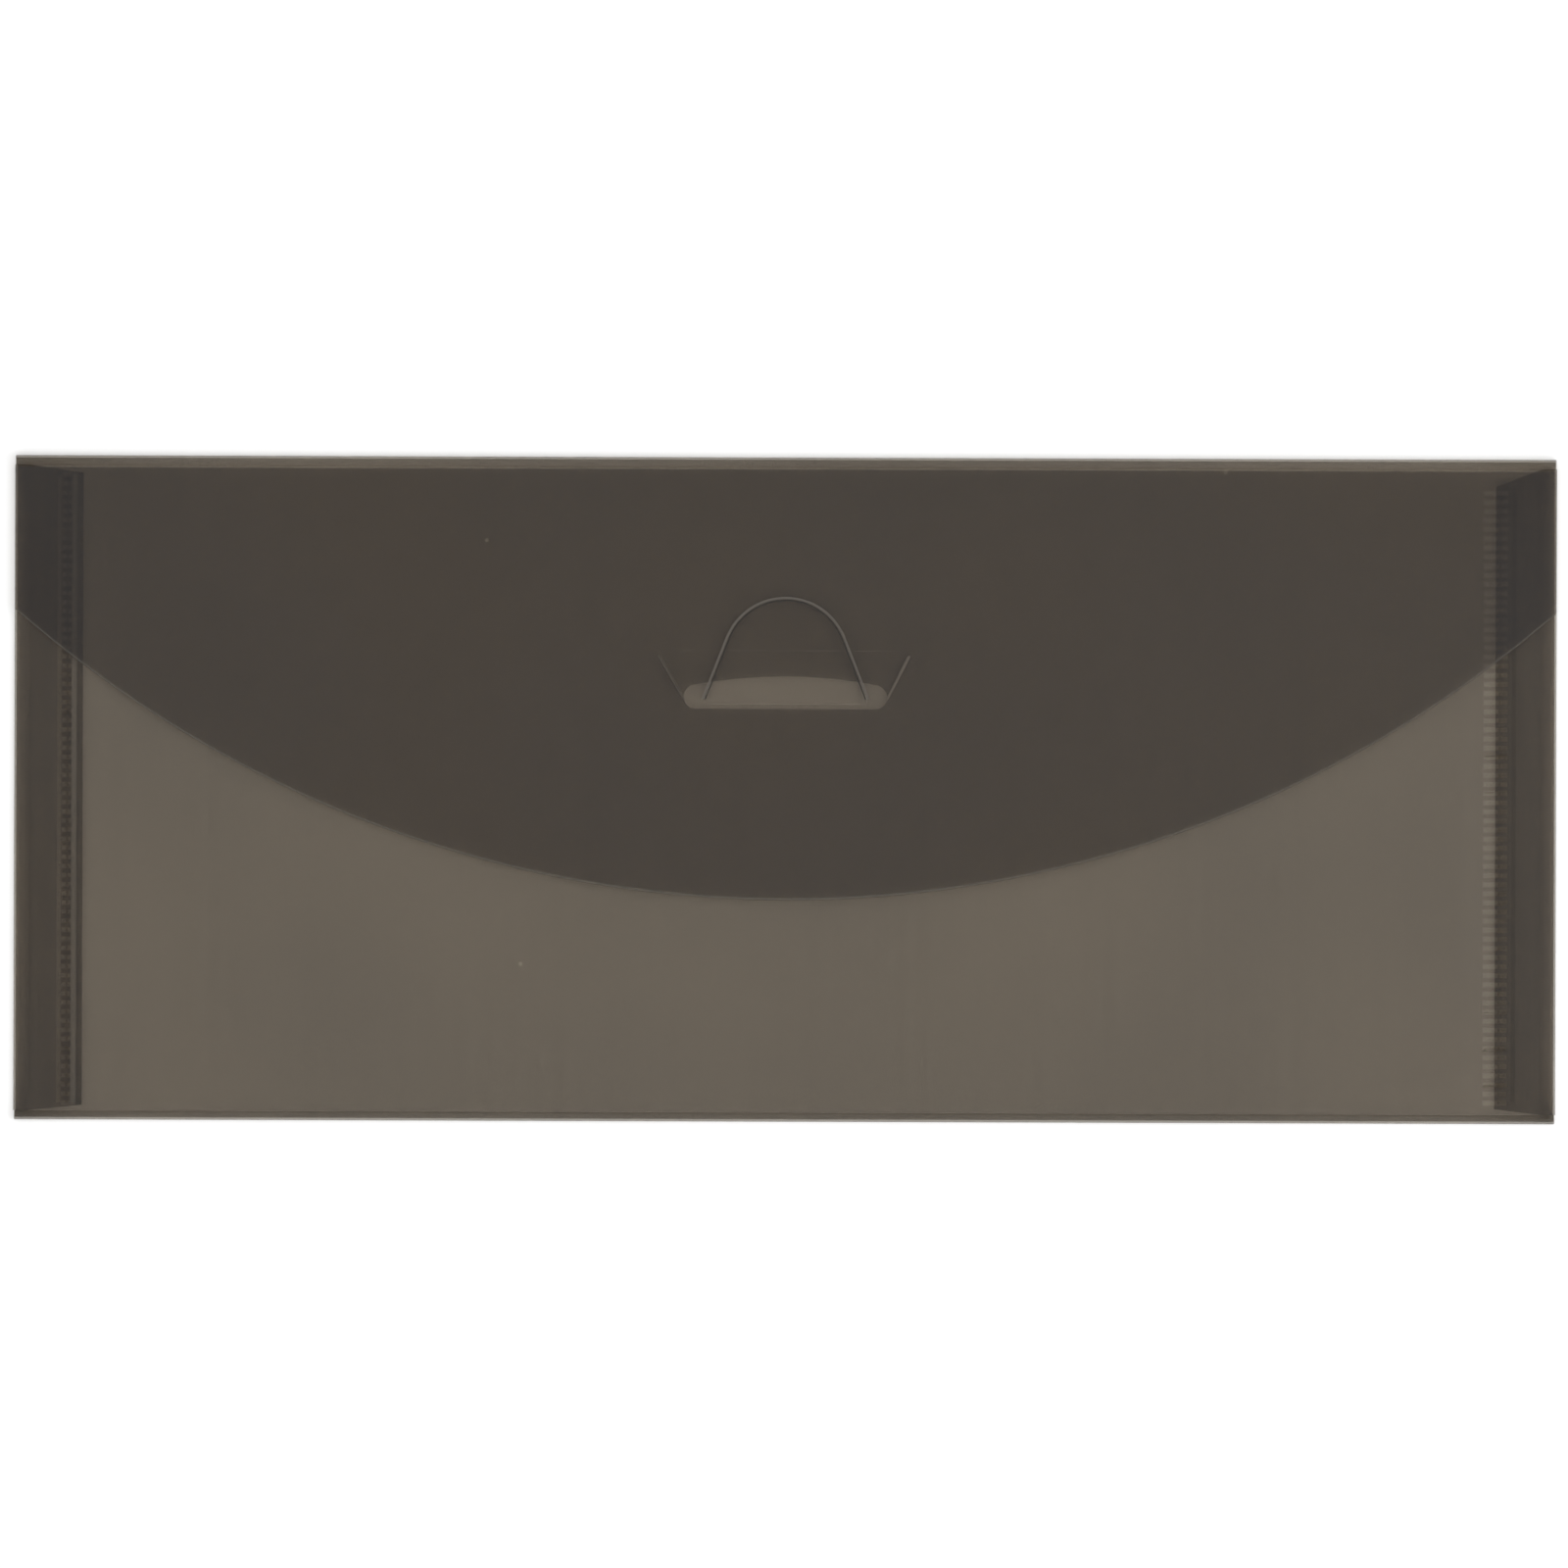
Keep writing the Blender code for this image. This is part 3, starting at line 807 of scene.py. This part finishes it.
# Closure flap: one long curved edge, with the tab cut in its middle
flap = {
    "sideX": 125.2,
    "seamTop": 52.2,
    "edgeLow": -18.0,
    "edgeRadius": 190.5,
    "edgeSteps": 40,
    "burnishedHighlight": 0.4,  # mm, width of the burnished edge with its painted highlight
}
edgeCentre = (0, flap["edgeLow"] + flap["edgeRadius"])
edgeLean = math.asin(flap["sideX"] / flap["edgeRadius"])
curve = roundLine(
    edgeCentre, flap["edgeRadius"], -math.pi / 2, -math.pi / 2 + edgeLean, flap["edgeSteps"]
)
curveInner = [(x, y + flap["burnishedHighlight"]) for x, y in curve]
tabSeamY = tab["rootY"] - tab["bend"]
tabFootX = tabEdge(0)[-1][0]
windowEdge = tabEdge(slit["gap"])
windowFar = tabEdge(slit["gap"] + slit["whitened"])
window = [
    *windowFar,
    windowEdge[-1],
    (tabFootX, tab["rootY"]),
    (tabFootX, tabSeamY),
    (0, tabSeamY),
]
flapOutline = curveInner + [(flap["sideX"], flap["seamTop"]), (0, flap["seamTop"])] + window
windowBand = list(zip(windowEdge, windowFar))
edgeBand = list(zip(curve, curveInner))
shape = halfSheet(flapOutline, midHeight("closure_flap"), bands=[windowBand, edgeBand])
mirrorHalf(shape)
for vert in shape.verts:
    vert.co.z += flapWave(vert.co.x, vert.co.y)
faceUp(shape)
flapSeams = [(1, flap["seamTop"] * mm, -1), (1, tabSeamY * mm, -1)]
flapLooks = [handled, slitEdge, burnishedHighlight]
flapSheet = finishSheet(shape, "flap_sheet", "closure_flap", flapLooks, seams=flapSeams)
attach(flapSheet, "flap")

# Tab: cut out of the flap, with a fine net across its root
tabSide = (tabFootX - seamGap, tabSeamY + seamGap)
tabInner = tabEdge(-slit["shaded"])
tabFoot = [tabEdge(0)[-1], (tabFootX - seamGap, tab["rootY"] - seamGap)]
tabOutline = tabInner + tabFoot + [tabSide, (0, tabSide[1])]
tabBand = list(zip(tabEdge(0), tabInner))
shape = halfSheet(tabOutline, midHeight("locking_tab"), bands=[tabBand])
cutAcross(shape, 1, evenPlaces(tab["rootY"] - tab["bend"], tab["rootY"] + tab["bend"], bendStep))
mirrorHalf(shape)
for vert in shape.verts:
    vert.co.z += flapWave(vert.co.x, vert.co.y)
faceUp(shape)
tabSeam = (1, tabSide[1] * mm, 1)
tabTongue = finishSheet(shape, "tab_tongue", "locking_tab", [smoke, shadedEdge], seams=[tabSeam])
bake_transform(tabTongue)

# Top spine: a narrow upright strip between two creases, each turning a quarter round up into it
spine = {"bendRadius": 0.35, "steps": 10}  # mm to the middle of the sheet
spineLow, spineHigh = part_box("top_spine")
spineMiddleY = topY - sheetGauge / 2
spineMiddleZ = (spineLow.z + spineHigh.z) / 2
bendRadius = spine["bendRadius"] * mm
for name, bodies, sheetZ, upwards in (
    ("lower_spine_crease", ("pocket", "spine"), midHeight("back_panel"), 1),
    ("upper_spine_crease", ("flap", "spine"), midHeight("closure_flap"), -1),
):
    shape = bmesh.new()
    seamLine = (back["seamTop"] + seamGap) * mm
    ends = [shape.verts.new((x, seamLine, sheetZ)) for x in (spineLow.x, spineHigh.x)]
    line = shape.edges.new(ends)
    bmesh.ops.subdivide_edges(shape, edges=[line], cuts=fold["net"])
    bendStartY = spineMiddleY - bendRadius
    bendEndZ = sheetZ + upwards * bendRadius
    flat = bmesh.ops.extrude_edge_only(shape, edges=shape.edges[:])["geom"]
    edgeVerts = [g for g in flat if isinstance(g, bmesh.types.BMVert)]
    bmesh.ops.translate(shape, verts=edgeVerts, vec=(0, bendStartY - seamLine, 0))
    edgeLine = [e for e in shape.edges if all(v in edgeVerts for v in e.verts)]
    spun = bmesh.ops.spin(
        shape,
        geom=edgeVerts + edgeLine,
        cent=(0, bendStartY, bendEndZ),
        axis=(upwards, 0, 0),
        angle=math.pi / 2,
        steps=spine["steps"],
    )["geom_last"]
    lastEdges = [g for g in spun if isinstance(g, bmesh.types.BMEdge)]
    upright = bmesh.ops.extrude_edge_only(shape, edges=lastEdges)["geom"]
    topVerts = [g for g in upright if isinstance(g, bmesh.types.BMVert)]
    restZ = spineMiddleZ - upwards * seamGap * mm - bendEndZ
    bmesh.ops.translate(shape, verts=topVerts, vec=(0, 0, restZ))
    bmesh.ops.remove_doubles(shape, verts=shape.verts[:], dist=touching)
    if upwards > 0:  # the ends of the side folds reach past the seam
        notchY = sideHigh.y + seamGap * mm
        cutAcross(shape, 0, (-creaseX, creaseX))
        cutAcross(shape, 1, [notchY])
        middles = [(face, face.calc_center_median()) for face in shape.faces]
        notch = [face for face, middle in middles if abs(middle.x) > creaseX and middle.y < notchY]
        bmesh.ops.delete(shape, geom=notch, context="FACES")
    bmesh.ops.recalc_face_normals(shape, faces=shape.faces[:])
    # painted shade over the bend and the upright strip, none at the seam beside the mouth
    spineShadeMask = shape.verts.layers.float.new("turn")
    for vert in shape.verts:
        vert[spineShadeMask] = 0 if abs(vert.co.y - seamLine) < touching else 1
    spineSeams = [(1, seamLine, 1), (2, bendEndZ + restZ, -upwards)]
    piece = finishSheet(shape, name, "top_spine", [scored], edgeRound=0, seams=spineSeams)
    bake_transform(piece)

# Floor, light and camera
studio = {
    "floorColour": "#fdfdfd",
    "floorSize": 4.0,
    "floorDrop": 0.05,  # mm below the envelope, so that the two don't share a face
    "overhead": 4,  # power of the height: the tent's light comes mostly from above
    "tentStrength": 1.18,
    "tentSeen": 1.0,  # as the camera and reflections see it
    "keyEnergy": 2.3,
    "keySize": 0.5,
    "keyPlace": (0.5, -0.15, 0.85),
    "frameWidth": 255.05,  # mm across the photo
    "frameHeight": 0.6,  # mm above the floor, where that width is measured
    "distance": 2.0,
    "sensor": 36,  # mm
    "aim": (-0.19, 0.93),  # mm
    "roll": 0.19,  # degrees
}
shape = bmesh.new()
bmesh.ops.create_grid(shape, x_segments=4, y_segments=4, size=studio["floorSize"] / 2)
bmesh.ops.translate(shape, verts=shape.verts[:], vec=(0, 0, -studio["floorDrop"] * mm))
floorMesh = bpy.data.meshes.new("floor")
shape.to_mesh(floorMesh)
shape.free()
floor = bpy.data.objects.new("floor", floorMesh)
bpy.context.scene.collection.objects.link(floor)
paper = bpy.data.materials.new("white_paper_sweep")  # matt paper backdrop
paper.use_nodes = True
paperShader = paper.node_tree.nodes["Principled BSDF"]
paperShader.inputs["Base Color"].default_value = hexToLinear(studio["floorColour"])
paperShader.inputs["Roughness"].default_value = 1
paperShader.inputs["Specular IOR Level"].default_value = 0
floorMesh.materials.append(paper)

world = bpy.data.worlds.new("white tent")
world.use_nodes = True
bpy.context.scene.world = world
tree = world.node_tree
tree.nodes.clear()
path = addNode(tree, "ShaderNodeLightPath", {})
seen = addNode(
    tree,
    "ShaderNodeMath",
    {"operation": "MAXIMUM"},
    [(0, path.outputs["Is Camera Ray"]), (1, path.outputs["Is Glossy Ray"])],
)
seen = addNode(
    tree,
    "ShaderNodeMath",
    {"operation": "MAXIMUM"},
    [(0, seen.outputs[0]), (1, path.outputs["Is Transmission Ray"])],
)
direction = addNode(tree, "ShaderNodeTexCoord", {}).outputs["Generated"]
height = addNode(tree, "ShaderNodeSeparateXYZ", {}, [(0, direction)]).outputs["Z"]
height = addNode(tree, "ShaderNodeMath", {"operation": "MAXIMUM", 1: 0}, [(0, height)]).outputs[0]
above = addNode(
    tree, "ShaderNodeMath", {"operation": "POWER", 1: studio["overhead"]}, [(0, height)]
)
zenith = studio["tentStrength"] * (studio["overhead"] + 2) / 2  # so the floor gets that strength
lit = addNode(
    tree, "ShaderNodeMath", {"operation": "MULTIPLY", 1: zenith}, [(0, above.outputs[0])]
)
strength = addNode(
    tree,
    "ShaderNodeMix",
    {3: studio["tentSeen"]},
    [(0, seen.outputs[0]), (2, lit.outputs[0])],
)
sky = addNode(tree, "ShaderNodeBackground", {}, [("Strength", strength.outputs[0])])
addNode(tree, "ShaderNodeOutputWorld", {}, [("Surface", sky.outputs[0])])

keyData = bpy.data.lights.new("softbox", "AREA")
keyData.size = studio["keySize"]
keyData.energy = studio["keyEnergy"]
key = bpy.data.objects.new("softbox", keyData)
key.location = studio["keyPlace"]
key.rotation_euler = (-Vector(studio["keyPlace"])).to_track_quat("-Z", "Y").to_euler()
bpy.context.scene.collection.objects.link(key)

cameraData = bpy.data.cameras.new("camera")
cameraData.sensor_width = studio["sensor"]
cameraData.lens = studio["sensor"] * studio["distance"] / (studio["frameWidth"] * mm)
camera = bpy.data.objects.new("camera", cameraData)
aimX, aimY = studio["aim"]
camera.location = (aimX * mm, aimY * mm, studio["frameHeight"] * mm + studio["distance"])
camera.rotation_euler = (0, 0, math.radians(studio["roll"]))
bpy.context.scene.collection.objects.link(camera)
bpy.context.scene.camera = camera
bpy.context.scene.view_settings.view_transform = "Standard"
bpy.context.scene.cycles.transparent_max_bounces = 64  # eight faces of sheet lie under each other
print("floor, light and camera set")
